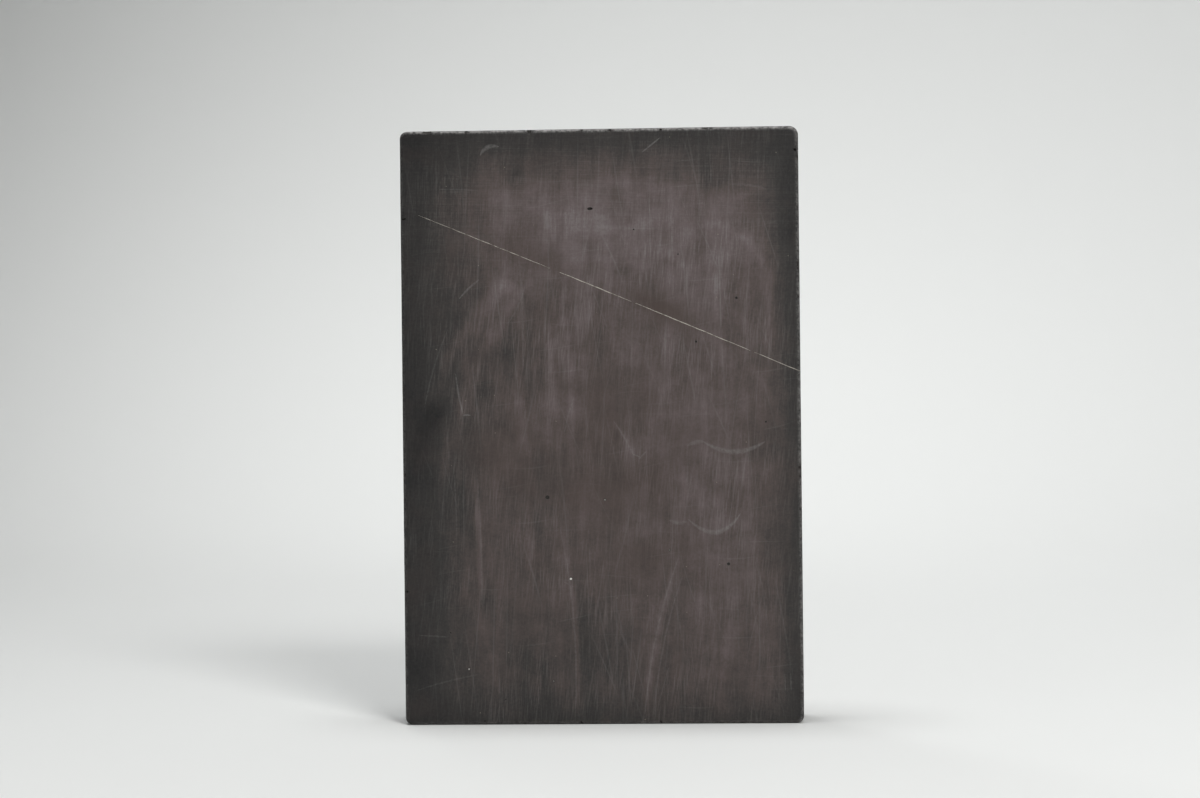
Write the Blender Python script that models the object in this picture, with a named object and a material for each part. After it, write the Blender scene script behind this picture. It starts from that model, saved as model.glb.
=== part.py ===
"""Basalt massage stone: one honed slab of dark fine-grained stone, crossed by a thin mineral vein.

The slab stands upright on its short edge. Frame: metres, +Z up, +X to the right of the front face,
front face towards -Y, origin at the middle of the standing edge's underside.

The stone is a monolith. Its vein and the mineral that fills a few old gas bubbles are bodies of
another mineral, bonded in the rock, so each is a solid of its own in its own slot or socket.
"""

import math

import bmesh
import bpy
from mathutils import Matrix, Vector

MM = 0.001

# ---- Slab ------------------------------------------------------------------------------------------
SLAB_WIDTH = 134.0 * MM        # along X
SLAB_THICKNESS = 25.0 * MM     # along Y
SLAB_HEIGHT = 200.0 * MM       # along Z
CORNER_RADIUS = 2.5 * MM       # the outline's four corners
ARRIS_RADIUS = 1.3 * MM        # softened edge where the outline meets each face
CORNER_SEGMENTS = 5
ARRIS_SEGMENTS = 3

# ---- Bond line -------------------------------------------------------------------------------------
MINERAL_GAP = 0.3 * MM         # between a mineral body and the stone round it
OVERSHOOT = 2.0 * MM           # how far a cutter runs past the surface that it cuts

# ---- Vein: a row of thin lenses in one plane, with bridges of stone between them -------------------
VEIN_WIDTH = 0.5 * MM          # thickness of a lens at its middle
VEIN_TIP_SHARE = 0.45          # a lens's tip, as a share of its middle
VEIN_DROP = 53.7 * MM          # from the top edge down to the vein, at X = 0 on the front face
VEIN_FALL = math.radians(22.87)  # downwards, towards +X
VEIN_BOW = 0.27 * MM           # sag of each end below a straight line
VEIN_BOW_REACH = 61.0 * MM     # distance from X = 0 at which the sag is that large
VEIN_RISE_TO_BACK = 3.0 * MM   # the vein is this much higher on the back face
VEIN_LEFT_MARGIN = 6.0 * MM    # sound stone between the left side and the first lens
VEIN_BRIDGES = (               # (X of the bridge's middle, its length), left to right
    (-15.0 * MM, 3.3 * MM),
    (11.3 * MM, 1.4 * MM),
    (50.9 * MM, 1.4 * MM),
)
LENS_STEPS = 12                # spans along a lens

# ---- Small features of the front face --------------------------------------------------------------
# Above the vein they are placed from the top edge, and below it from the base.
# Mineral grains: (X, Z from the base, radius)
GRAINS = (
    (1.0 * MM, 75.4 * MM, 0.50 * MM),
    (-10.7 * MM, 48.9 * MM, 0.50 * MM),
    (22.6 * MM, 58.3 * MM, 0.42 * MM),
    (-45.3 * MM, 18.8 * MM, 0.40 * MM),
    (-16.8 * MM, 14.6 * MM, 0.36 * MM),
)
GRAIN_SINK = 0.25              # depth of a grain's centre below the face, as a share of its radius

# Open pits: (X, distance, "top" or "base", half-width, half-height, depth)
PITS = (
    (-3.0 * MM, 26.9 * MM, "top", 0.95 * MM, 0.50 * MM, 0.55 * MM),
    (45.8 * MM, 57.4 * MM, "top", 0.50 * MM, 0.50 * MM, 0.40 * MM),
    (32.1 * MM, 71.9 * MM, "top", 0.42 * MM, 0.42 * MM, 0.35 * MM),
    (-18.3 * MM, 76.3 * MM, "base", 0.70 * MM, 0.70 * MM, 0.60 * MM),
    (42.2 * MM, 53.5 * MM, "base", 0.55 * MM, 0.55 * MM, 0.45 * MM),
)

# Chips out of the front arris
TOP_CHIPS = (                  # (X, half-length along X, depth down, depth back)
    (-23.1 * MM, 0.8 * MM, 1.6 * MM, 1.5 * MM),
    (-57.6 * MM, 1.5 * MM, 0.7 * MM, 1.2 * MM),
)
RIGHT_CHIP = (46.4 * MM, 1.5 * MM, 1.0 * MM, 1.3 * MM)   # (below the top, half-length, depth in, back)
LEFT_CHIP = (27.5 * MM, 2.0 * MM, 0.6 * MM, 1.1 * MM)    # (above the base, half-length, depth in, back)

FRONT_Y = -SLAB_THICKNESS / 2
RIGHT_X = SLAB_WIDTH / 2


def clear_scene():
    for obj in list(bpy.data.objects):
        bpy.data.objects.remove(obj, do_unlink=True)


def make_material(name, colour, roughness):
    material = bpy.data.materials.new(name)
    material.use_nodes = True
    shader = material.node_tree.nodes["Principled BSDF"]
    shader.inputs["Base Color"].default_value = (*colour, 1.0)
    shader.inputs["Roughness"].default_value = roughness
    shader.inputs["Metallic"].default_value = 0.0
    return material


def add_object(name, bm, parent, material=None):
    """Turn a bmesh into a linked object and free the bmesh."""
    bmesh.ops.recalc_face_normals(bm, faces=bm.faces)
    mesh = bpy.data.meshes.new(name)
    bm.to_mesh(mesh)
    bm.free()
    obj = bpy.data.objects.new(name, mesh)
    bpy.context.scene.collection.objects.link(obj)
    obj.parent = parent
    if material:
        mesh.materials.append(material)
    return obj


def make_guide(obj):
    """A cutter or a guide is only drawn as wire, and isn't part of the object."""
    obj.hide_render = True
    obj.display_type = "WIRE"
    return obj


def add_boolean(obj, other, operation):
    modifier = obj.modifiers.new(f"{operation.lower()}_{other.name}"[:60], "BOOLEAN")
    modifier.operation = operation
    modifier.solver = "EXACT"
    modifier.object = other


# ---- Slab --------------------------------------------------------------------------------------------
def add_slab_form(name, parent, material=None):
    """The slab's plain rounded form: a block with round corners and softened arrises."""
    bm = bmesh.new()
    size = Matrix.Diagonal((SLAB_WIDTH, SLAB_THICKNESS, SLAB_HEIGHT, 1.0))
    lift = Matrix.Translation((0.0, 0.0, SLAB_HEIGHT / 2))
    bmesh.ops.create_cube(bm, size=1.0, matrix=lift @ size)
    corner_edges = [edge for edge in bm.edges if runs_front_to_back(edge)]
    bmesh.ops.bevel(bm, geom=corner_edges, offset=CORNER_RADIUS, segments=CORNER_SEGMENTS,
                    profile=0.5, affect="EDGES")
    slab = add_object(name, bm, parent, material)
    arris = slab.modifiers.new("soft_arris", "BEVEL")
    arris.width = ARRIS_RADIUS
    arris.segments = ARRIS_SEGMENTS
    arris.limit_method = "ANGLE"
    arris.angle_limit = math.radians(60.0)
    return slab


def runs_front_to_back(edge):
    start, end = (vert.co for vert in edge.verts)
    return abs((end - start).normalized().y) > 0.99


# ---- Vein --------------------------------------------------------------------------------------------
def vein_height(x):
    """Height of the vein's middle line on the front face."""
    sag = VEIN_BOW * (x / VEIN_BOW_REACH) ** 2
    return SLAB_HEIGHT - VEIN_DROP - x * math.tan(VEIN_FALL) - sag


def lens_spans():
    """(start X, end X) of each lens: between the stone bridges, and out through the right side."""
    starts = [-RIGHT_X + VEIN_LEFT_MARGIN]
    ends = []
    for middle, length in VEIN_BRIDGES:
        ends.append(middle - length / 2)
        starts.append(middle + length / 2)
    ends.append(RIGHT_X + OVERSHOOT)
    return list(zip(starts, ends))


def lens_half_width(share):
    """Half of a lens's thickness at a share of its length, from 0 to 1."""
    swell = math.sqrt(max(0.0, math.sin(math.pi * share)))
    return VEIN_WIDTH / 2 * (VEIN_TIP_SHARE + (1.0 - VEIN_TIP_SHARE) * swell)


def lens_bmesh(start, end, grow):
    """A lens as a plate that runs through the slab from front to back, grown by `grow` all round."""
    bm = bmesh.new()
    plumb_share = 1.0 / math.cos(VEIN_FALL)
    slope = VEIN_RISE_TO_BACK / SLAB_THICKNESS
    depth = SLAB_THICKNESS / 2 + OVERSHOOT
    rings = []
    for step in range(LENS_STEPS + 1):
        share = step / LENS_STEPS
        x = (start - grow) + (end - start + 2 * grow) * share
        half = (lens_half_width(share) + grow) * plumb_share
        ring = []
        for y in (-depth, depth):
            middle = vein_height(x) + (y - FRONT_Y) * slope
            for z in (middle - half, middle + half):
                ring.append(bm.verts.new((x, y, z)))
        rings.append((ring[0], ring[1], ring[3], ring[2]))
    for left, right in zip(rings, rings[1:]):
        for i in range(4):
            j = (i + 1) % 4
            bm.faces.new((left[i], left[j], right[j], right[i]))
    bm.faces.new(rings[0])
    bm.faces.new(tuple(reversed(rings[-1])))
    return bm


# ---- Round features ----------------------------------------------------------------------------------
def ball_bmesh(radii):
    bm = bmesh.new()
    bmesh.ops.create_icosphere(bm, subdivisions=2, radius=1.0, matrix=Matrix.Diagonal((*radii, 1.0)))
    return bm


def add_ball_cutter(name, centre, radii, parent):
    cutter = make_guide(add_object(name, ball_bmesh(radii), parent))
    cutter.location = centre
    return cutter


def feature_height(distance, datum):
    return SLAB_HEIGHT - distance if datum == "top" else distance


def add_grain(number, blank, parent, material):
    """A ball of mineral, ground flush with the front face. Returns it with its socket's cutter."""
    x, z, radius = GRAINS[number - 1]
    centre = Vector((x, FRONT_Y + radius * GRAIN_SINK, z))
    grain = add_object(f"mineral_grain_{number}", ball_bmesh((radius,) * 3), parent, material)
    grain.location = centre
    add_boolean(grain, blank, "INTERSECT")
    socket = add_ball_cutter(f"cut_socket_{number}", centre, (radius + MINERAL_GAP,) * 3, parent)
    return grain, socket


def add_pit_cutters(parent):
    cutters = []
    for number, (x, distance, datum, half_width, half_height, depth) in enumerate(PITS, 1):
        centre = (x, FRONT_Y, feature_height(distance, datum))
        cutters.append(add_ball_cutter(f"cut_pit_{number}", centre, (half_width, depth, half_height), parent))
    return cutters


def add_chip_cutters(parent):
    cutters = []
    for number, (x, half_length, down, back) in enumerate(TOP_CHIPS, 1):
        centre = (x, FRONT_Y, SLAB_HEIGHT)
        cutters.append(add_ball_cutter(f"cut_chip_top_{number}", centre, (half_length, back, down), parent))
    below, half_length, inwards, back = RIGHT_CHIP
    centre = (RIGHT_X, FRONT_Y, SLAB_HEIGHT - below)
    cutters.append(add_ball_cutter("cut_chip_right", centre, (inwards, back, half_length), parent))
    above, half_length, inwards, back = LEFT_CHIP
    centre = (-RIGHT_X, FRONT_Y, above)
    cutters.append(add_ball_cutter("cut_chip_left", centre, (inwards, back, half_length), parent))
    return cutters


def shade_round(obj):
    obj.data.shade_smooth()
    obj.data.set_sharp_from_angle(angle=math.radians(40.0))


def build():
    clear_scene()
    stone = make_material("honed_basalt", (0.072, 0.062, 0.059), 0.55)
    vein = make_material("pale_vein", (0.30, 0.27, 0.24), 0.45)
    mineral = make_material("white_mineral", (0.55, 0.53, 0.50), 0.4)

    root = bpy.data.objects.new("massage_stone", None)
    bpy.context.scene.collection.objects.link(root)

    slab = add_slab_form("stone_slab", root, stone)
    blank = make_guide(add_slab_form("slab_blank", root))

    cutters = []
    for number, (start, end) in enumerate(lens_spans(), 1):
        lens = add_object(f"vein_lens_{number}", lens_bmesh(start, end, 0.0), root, vein)
        add_boolean(lens, blank, "INTERSECT")
        cutter = add_object(f"cut_vein_{number}", lens_bmesh(start, end, MINERAL_GAP), root)
        cutters.append(make_guide(cutter))

    for number in range(1, len(GRAINS) + 1):
        grain, socket = add_grain(number, blank, root, mineral)
        shade_round(grain)
        cutters.append(socket)

    cutters += add_pit_cutters(root)
    cutters += add_chip_cutters(root)
    for cutter in cutters:
        add_boolean(slab, cutter, "DIFFERENCE")
    shade_round(slab)


build()
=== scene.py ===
# %% [markdown]
# # A honed basalt massage stone
# The object is one flat slab of dark, fine-grained stone, about 134 by 25 by 200 mm, that stands on its
# short edge. Nothing on it is fastened: a thin pale vein and a few mineral-filled gas bubbles are part of
# the rock. So almost everything that makes it look real is in small things: arrises that were softened by
# hand and aren't quite even, nicks along them, open pits, a dry haze with wipe marks, and fine scratches.
#
# The plan, step by step:
# 1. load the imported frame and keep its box,
# 2. set the camera, the floor and the lights,
# 3. shape the slab with Geometry Nodes, then break nicks, chips and pits out of it,
# 4. paint the haze and the wipe marks on the slab as an attribute,
# 5. grow the vein and the mineral grains with Geometry Nodes,
# 6. give each its material.

# %% Load the frame
import math
import random

import bmesh
import bpy
import numpy as np
from mathutils import Matrix, Vector
from mathutils.bvhtree import BVHTree


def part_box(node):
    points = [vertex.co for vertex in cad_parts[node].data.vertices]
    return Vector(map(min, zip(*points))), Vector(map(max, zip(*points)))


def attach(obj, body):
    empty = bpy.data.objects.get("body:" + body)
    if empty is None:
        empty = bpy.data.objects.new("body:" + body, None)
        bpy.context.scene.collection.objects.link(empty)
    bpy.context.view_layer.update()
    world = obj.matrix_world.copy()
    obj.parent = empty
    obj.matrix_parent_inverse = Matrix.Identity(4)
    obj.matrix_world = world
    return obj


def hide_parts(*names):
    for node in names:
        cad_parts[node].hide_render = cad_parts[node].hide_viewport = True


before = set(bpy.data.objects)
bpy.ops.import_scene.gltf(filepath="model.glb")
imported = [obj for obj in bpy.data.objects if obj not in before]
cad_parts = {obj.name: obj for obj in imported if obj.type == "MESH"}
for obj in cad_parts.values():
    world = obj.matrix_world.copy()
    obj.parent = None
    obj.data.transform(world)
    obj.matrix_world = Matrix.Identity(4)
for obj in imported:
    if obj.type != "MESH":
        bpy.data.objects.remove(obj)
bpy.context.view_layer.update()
MM = 0.001

SLAB_LOW, SLAB_HIGH = (Vector(corner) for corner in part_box("stone_slab"))
SLAB_SIZE = SLAB_HIGH - SLAB_LOW
HALF_WIDTH = SLAB_SIZE.x / 2
HALF_DEPTH = SLAB_SIZE.y / 2
HEIGHT = SLAB_SIZE.z
FRONT_Y = SLAB_LOW.y
print("slab, mm:", [round(side / MM, 1) for side in SLAB_SIZE])

# %% [markdown]
# ## Camera
# The slab is seen square on, from a little above half its height, with a long lens. The camera stands
# slightly to the right and turns back, which makes the right side a touch taller in the frame. It also
# rolls by about half a degree, so the upright slab leans a hair. Turning the view with a matrix keeps
# these three facts apart: where it stands, where it looks, and how it rolls.

# %% Camera
CAMERA_PLACE = Vector((38.8, -870.1, 109.2)) * MM
CAMERA_TURN = math.radians(2.608)       # to the left of straight ahead
CAMERA_ROLL = math.radians(-0.609)
CAMERA_LENS = 76.74                     # mm, on a 36 mm wide sensor


def make_camera():
    camera = bpy.data.objects.new("camera", bpy.data.cameras.new("camera"))
    camera.data.lens = CAMERA_LENS
    camera.data.sensor_width = 36.0
    camera.data.clip_start = 0.01
    upright = Matrix.Rotation(CAMERA_TURN, 4, "Z") @ Matrix.Rotation(math.pi / 2, 4, "X")
    camera.matrix_world = Matrix.Translation(CAMERA_PLACE) @ upright @ Matrix.Rotation(CAMERA_ROLL, 4, "Z")
    bpy.context.scene.collection.objects.link(camera)
    bpy.context.scene.camera = camera


make_camera()
bpy.context.scene.view_settings.view_transform = "Standard"
print("camera at", [round(value, 3) for value in CAMERA_PLACE])

# %% [markdown]
# ## A few helpers for node trees
# Every tree below is built in code. `put` adds one node and fills its inputs, either with a constant or
# with another node's output. `calc` and `vec` are short forms for the two math nodes, and `add`, `sub`,
# `mul`, `div`, `most` and `least` for the sums that come up all the time. They work alike in Geometry
# Nodes and in materials, and find their tree from the sockets they are given. `new_group` starts a group
# of nodes with named sockets, `new_tree` starts one that can grow a piece, and `grow` runs it.

# %% Node helpers


def put(tree, kind, inputs=None, **settings):
    """Add a node, set its properties, then set or link its inputs."""
    made = tree.nodes.new(kind)
    for key, value in settings.items():
        setattr(made, key, value)
    for key, value in (inputs or {}).items():
        if isinstance(value, bpy.types.NodeSocket):
            tree.links.new(value, made.inputs[key])
        else:
            made.inputs[key].default_value = value
    return made


def tree_of(*values):
    """The tree that the sockets among some values belong to."""
    return next(value.id_data for value in values if isinstance(value, bpy.types.NodeSocket))


def calc(operation, *values):
    return put(tree_of(*values), "ShaderNodeMath", dict(enumerate(values)), operation=operation).outputs[0]


def chain(operation, first, *others):
    """Apply one operation to several values, from left to right."""
    for other in others:
        first = calc(operation, first, other)
    return first


def add(*values):
    return chain("ADD", *values)


def sub(*values):
    return chain("SUBTRACT", *values)


def mul(*values):
    return chain("MULTIPLY", *values)


def div(*values):
    return chain("DIVIDE", *values)


def most(*values):
    return chain("MAXIMUM", *values)


def least(*values):
    return chain("MINIMUM", *values)


def vec(operation, *values):
    made = put(tree_of(*values), "ShaderNodeVectorMath", dict(enumerate(values)), operation=operation)
    scalar = operation in {"DOT_PRODUCT", "LENGTH", "DISTANCE"}
    return made.outputs["Value" if scalar else "Vector"]


def scaled(vector, amount):
    made = put(tree_of(vector), "ShaderNodeVectorMath", {0: vector, "Scale": amount}, operation="SCALE")
    return made.outputs["Vector"]


def split(vector):
    return put(tree_of(vector), "ShaderNodeSeparateXYZ", {0: vector}).outputs


def join(x, y, z):
    return put(tree_of(x, y, z), "ShaderNodeCombineXYZ", {0: x, 1: y, 2: z}).outputs[0]


def noise(place, scale, detail=2.0, roughness=0.5):
    made = put(tree_of(place), "ShaderNodeTexNoise",
               {"Vector": place, "Scale": scale, "Detail": detail, "Roughness": roughness})
    return made.outputs[0]


def swing(value, amount):
    """Turn a noise value between 0 and 1 into one between -amount and +amount."""
    return mul(calc("MULTIPLY_ADD", value, 2.0, -1.0), amount)


print("node helpers ready")

# %% Tree helpers


def position(tree):
    return put(tree, "GeometryNodeInputPosition").outputs[0]


def move(tree, geometry, **how):
    """Move the points of a geometry to a Position, or by an Offset."""
    return put(tree, "GeometryNodeSetPosition", {"Geometry": geometry, **how}).outputs[0]


def puff(tree, geometry, scale, amount):
    """Move a surface in and out along its normal, by a noise of this scale and amount."""
    outwards = put(tree, "GeometryNodeInputNormal").outputs[0]
    swell = swing(noise(position(tree), scale), amount)
    return move(tree, geometry, Offset=scaled(outwards, swell))


def store(tree, geometry, name, value):
    made = put(tree, "GeometryNodeStoreNamedAttribute", {"Geometry": geometry, "Name": name, "Value": value},
               data_type="FLOAT", domain="POINT")
    return made.outputs[0]


def new_group(name, kind, inputs, outputs):
    """A node group with named sockets, each (name, socket kind) or (name, socket kind, default)."""
    tree = bpy.data.node_groups.new(name, kind)
    for side, sockets in (("INPUT", inputs), ("OUTPUT", outputs)):
        for label, form, *default in sockets:
            socket = tree.interface.new_socket(label, in_out=side, socket_type="NodeSocket" + form)
            if default:
                socket.default_value = default[0]
    return tree, put(tree, "NodeGroupInput").outputs, put(tree, "NodeGroupOutput")


def new_tree(name, inputs):
    """A geometry tree with a geometry in and out, and more inputs."""
    geometry = ("Geometry", "Geometry")
    tree, given, out = new_group(name, "GeometryNodeTree", (geometry, *inputs), (geometry,))
    tree.is_modifier = True
    return tree, given, out


def finish_tree(tree, out, geometry, material):
    """End a tree in Realize Instances and Set Material."""
    real = put(tree, "GeometryNodeRealizeInstances", {0: geometry}).outputs[0]
    dressed = put(tree, "GeometryNodeSetMaterial", {"Geometry": real, "Material": material}).outputs[0]
    tree.links.new(dressed, out.inputs[0])


def grow(name, tree, values, source=None):
    """Run a geometry tree on an object and keep the result as a plain mesh."""
    mesh = source or bpy.data.meshes.new(name + "_seed")
    seed = bpy.data.objects.new(name + "_seed", mesh)
    bpy.context.scene.collection.objects.link(seed)
    modifier = seed.modifiers.new("grow", "NODES")
    modifier.node_group = tree
    sockets = {item.name: item.identifier for item in tree.interface.items_tree if item.in_out == "INPUT"}
    for label, value in values.items():
        modifier[sockets[label]] = value
    seen = seed.evaluated_get(bpy.context.evaluated_depsgraph_get())
    grown = bpy.data.meshes.new_from_object(seen)
    bpy.data.objects.remove(seed)
    grown.name = name
    piece = bpy.data.objects.new(name, grown)
    bpy.context.scene.collection.objects.link(piece)
    return piece


print("tree helpers ready")

# %% [markdown]
# ## The floor and the light
# A plain pale floor that curves up into a pale wall all the way round, like a bowl, so that no edge shows
# from any side. It is turned from one profile. The main light is a soft one from the front right and above,
# which throws the soft shadow back to the left. A second one hangs over the stone, a weak one fills from
# the left, and a narrower beam lights the wall behind, on the right.

# %% Floor
FLOOR_REACH = 1.0       # m, radius of the flat part
WALL_BEND = 1.6         # radius of the bend up into the wall
WALL_TOP = 3.0
BEND_STEPS = 24
FLOOR_SIDES = 96


def make_floor_material():
    material = bpy.data.materials.new("pale_floor")
    material.use_nodes = True
    shader = material.node_tree.nodes["Principled BSDF"]
    shader.inputs["Base Color"].default_value = (0.80, 0.81, 0.80, 1.0)
    shader.inputs["Roughness"].default_value = 0.9
    shader.inputs["Specular IOR Level"].default_value = 0.2
    return material


def make_floor():
    bm = bmesh.new()
    profile = [(0.0, 0.0), (FLOOR_REACH, 0.0)]
    for step in range(1, BEND_STEPS + 1):
        angle = math.pi / 2 * step / BEND_STEPS
        profile.append((FLOOR_REACH + WALL_BEND * math.sin(angle), WALL_BEND * (1 - math.cos(angle))))
    profile.append((FLOOR_REACH + WALL_BEND, WALL_TOP))
    verts = [bm.verts.new((x, 0.0, z)) for x, z in profile]
    edges = [bm.edges.new(pair) for pair in zip(verts, verts[1:])]
    bmesh.ops.spin(bm, geom=verts + edges, cent=(0, 0, 0), axis=(0, 0, 1), angle=math.tau,
                   steps=FLOOR_SIDES, use_duplicate=False)
    bmesh.ops.remove_doubles(bm, verts=bm.verts, dist=1e-5)
    for face in bm.faces:
        face.smooth = True
        face.normal_update()
    mesh = bpy.data.meshes.new("floor")
    bm.to_mesh(mesh)
    bm.free()
    mesh.materials.append(make_floor_material())
    floor = bpy.data.objects.new("floor", mesh)
    bpy.context.scene.collection.objects.link(floor)


make_floor()
print("floor out to", FLOOR_REACH + WALL_BEND, "m")

# %% Lights
LIGHTS = (              # (name, place, aimed at, size, watts, colour, spread in degrees)
    ("key", (0.50, -1.15, 0.95), (0.0, 0.0, 0.08), 0.50, 13.0, (1.0, 0.988, 0.975), 180.0),
    ("fill", (-1.1, -1.0, 0.6), (0.0, 0.0, 0.1), 1.0, 0.6, (0.97, 0.985, 1.0), 180.0),
    ("top", (-0.05, 0.0, 1.28), (-0.05, 0.0, 0.0), 0.5, 8.4, (0.99, 0.995, 1.0), 180.0),
    ("backdrop", (-0.39, 1.03, 1.20), (0.90, 1.67, 0.35), 0.6, 11.6, (1.0, 1.0, 1.0), 155.0),
)
WORLD_LEVEL = 0.06


def make_light(name, place, target, size, watts, colour, spread):
    lamp = bpy.data.lights.new(name, "AREA")
    lamp.shape = "DISK"
    lamp.size = size
    lamp.energy = watts
    lamp.color = colour
    lamp.spread = math.radians(spread)
    light = bpy.data.objects.new(name, lamp)
    light.location = place
    light.rotation_euler = (Vector(target) - Vector(place)).to_track_quat("-Z", "Y").to_euler()
    bpy.context.scene.collection.objects.link(light)


def make_world():
    world = bpy.data.worlds.new("soft_room")
    world.use_nodes = True
    sky = world.node_tree.nodes["Background"]
    sky.inputs["Color"].default_value = (0.95, 0.97, 1.0, 1.0)
    sky.inputs["Strength"].default_value = WORLD_LEVEL
    bpy.context.scene.world = world


for light in LIGHTS:
    make_light(*light)
make_world()
print(len(LIGHTS), "lights")

# %% [markdown]
# ## The slab's form
# A cube with a Bevel would give the same round arris everywhere, which reads as plastic. Here the form is
# a rule instead: a grid cube is bent into a block whose outline has round corners, and then the edge
# between that outline and each face is rounded by a radius that wanders. Both bends work alike: in the
# zone next to a corner, a point at (a, b) from the inner corner moves onto the circle with radius
# max(a, b). The rule lives in its own group, because the vein needs the same form to be flush with it.

# %% Slab rule
CORNER_RADIUS = 2.5 * MM
WORN_CORNER = 0.6 * MM      # more than that, at the top right corner
ARRIS_RADIUS = 1.3 * MM
ARRIS_PLAY = 0.30           # how far the arris wanders, as a share of its radius
EDGE_BAND = 4.4 * MM        # a band of finer cells next to every edge
BAND_CELLS = 10
BLOCK_INPUTS = (            # (name, socket kind, default)
    ("Half size", "Vector"), ("Corner radius", "Float", CORNER_RADIUS), ("Worn corner", "Float", WORN_CORNER),
    ("Arris radius", "Float", ARRIS_RADIUS), ("Arris play", "Float", ARRIS_PLAY), ("Knee", "Vector"),
    ("Band", "Float", EDGE_BAND), ("Cells X", "Int"), ("Cells Y", "Int"), ("Cells Z", "Int"))


def rounded_block_group():
    """Node group: a block with round corners and soft arrises, from a grid cube."""
    tree, given, out = new_group("rounded block", "GeometryNodeTree", BLOCK_INPUTS,
                                 (("Geometry", "Geometry"),))
    counts = {"Vertices " + axis: add(given["Cells " + axis], 1.0) for axis in "XYZ"}
    cube = put(tree, "GeometryNodeMeshCube", {"Size": (2.0, 2.0, 2.0), **counts})
    place = position(tree)

    # Work in the positive eighth: `reach` runs from 0 at the middle to the half size at the surface.
    side = vec("SIGN", place)
    share = vec("ABSOLUTE", place)
    half = given["Half size"]
    band = join(given["Band"], given["Band"], given["Band"])
    stretch = vec("DIVIDE", vec("SUBTRACT", half, band), given["Knee"])
    inner = vec("MULTIPLY", share, stretch)
    ones = (1.0, 1.0, 1.0)
    left_over = vec("DIVIDE", vec("SUBTRACT", ones, share), vec("SUBTRACT", ones, given["Knee"]))
    outer = vec("SUBTRACT", half, vec("MULTIPLY", left_over, band))
    reach_x, reach_y, reach_z = split(vec("MINIMUM", inner, outer))
    half_x, half_y, half_z = split(half)
    side_x, _, side_z = split(side)

    # The outline's corners.
    worn = mul(calc("GREATER_THAN", side_x, 0.5), calc("GREATER_THAN", side_z, 0.5))
    radius = add(given["Corner radius"], mul(worn, given["Worn corner"]))
    core_x = sub(half_x, radius)
    core_z = sub(half_z, radius)
    over_x = most(sub(reach_x, core_x), 0.0)
    over_z = most(sub(reach_z, core_z), 0.0)
    ring = most(over_x, over_z)
    span = most(vec("LENGTH", join(over_x, 0.0, over_z)), 1e-9)
    out_x = div(over_x, span)
    out_z = div(over_z, span)
    bent_x = add(least(reach_x, core_x), mul(out_x, ring))
    bent_z = add(least(reach_z, core_z), mul(out_z, ring))

    # The arris, with a radius that wanders along it.
    wander = swing(noise(scaled(place, 9.0), 1.0, 3.0), given["Arris play"])
    soft = mul(given["Arris radius"], add(1.0, wander))
    from_face = sub(half_y, reach_y)
    from_rim = sub(radius, ring)
    a = most(sub(soft, from_rim), 0.0)
    b = most(sub(soft, from_face), 0.0)
    both = most(a, b)
    diagonal = most(vec("LENGTH", join(a, b, 0.0)), 1e-9)
    pull = sub(div(both, diagonal), 1.0)
    pull_a = mul(a, pull)
    pull_b = mul(b, pull)

    final = join(add(bent_x, mul(out_x, pull_a)), add(reach_y, pull_b), add(bent_z, mul(out_z, pull_a)))
    lifted = vec("ADD", vec("MULTIPLY", final, side), join(0.0, 0.0, half_z))
    arris = div(least(a, b), soft)
    kept = store(tree, cube.outputs["Mesh"], "arris", arris)
    tree.links.new(move(tree, kept, Position=lifted), out.inputs["Geometry"])
    return tree


ROUNDED_BLOCK = rounded_block_group()
print("rounded block:", len(ROUNDED_BLOCK.nodes), "nodes")

# %% [markdown]
# The slab's own tree calls that group, then lets the honed faces wave by a few hundredths of a
# millimetre, as hand-honed faces do. The wave is far too small to see as a shape, but it bends the soft
# reflection of the lights, so the face doesn't look like a sheet of glass.

# %% Slab
FACE_CELL = 0.98 * MM
SIDE_CELL = 1.9 * MM
HONED_WAVE = 0.035 * MM


def cells_for(half, cell):
    """Number of cells along an axis, and the share of the half length where the fine band starts."""
    inside = 2 * max(2, round((half - EDGE_BAND) / cell))
    total = inside + 2 * BAND_CELLS
    return total, inside / total


def slab_tree():
    tree, given, out = new_tree("slab", (
        *BLOCK_INPUTS, ("Wave", "Float", HONED_WAVE), ("Material", "Material")))
    block = put(tree, "GeometryNodeGroup", node_tree=ROUNDED_BLOCK)
    for socket in block.inputs:
        tree.links.new(given[socket.name], socket)
    waved = puff(tree, block.outputs["Geometry"], 28.0, given["Wave"])
    smooth = put(tree, "GeometryNodeSetShadeSmooth", {"Geometry": waved})
    finish_tree(tree, out, smooth.outputs[0], given["Material"])
    return tree


def grow_slab():
    half = (HALF_WIDTH, HALF_DEPTH, HEIGHT / 2)
    cells, knees = zip(*map(cells_for, half, (FACE_CELL, SIDE_CELL, FACE_CELL)))
    counts = {"Cells " + axis: cells[i] for i, axis in enumerate("XYZ")}
    return grow("honed_slab", slab_tree(), {"Half size": half, "Knee": knees, "Material": STONE, **counts})


STONE = bpy.data.materials.new("honed_basalt")
slab = grow_slab()
print("slab:", len(slab.data.polygons), "faces")

# %% [markdown]
# ## Nicks, chips and pits
# Stone doesn't dent, it breaks: every nick on an arris is a small bite out of it, and every pit in the
# face is a gas bubble that the honing opened. So they are cut out, not painted. Geometry Nodes put one
# rough ball at each place: the pits and the larger chips come from a short list, and the small nicks are
# strewn along the two outlines with a fixed seed. All of the balls then leave the slab in one Boolean.
# A cut can leave flaps with no thickness, and balls that lie wholly inside the stone leave hidden bubbles,
# so both are taken out again: the piece is one closed skin.

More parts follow.
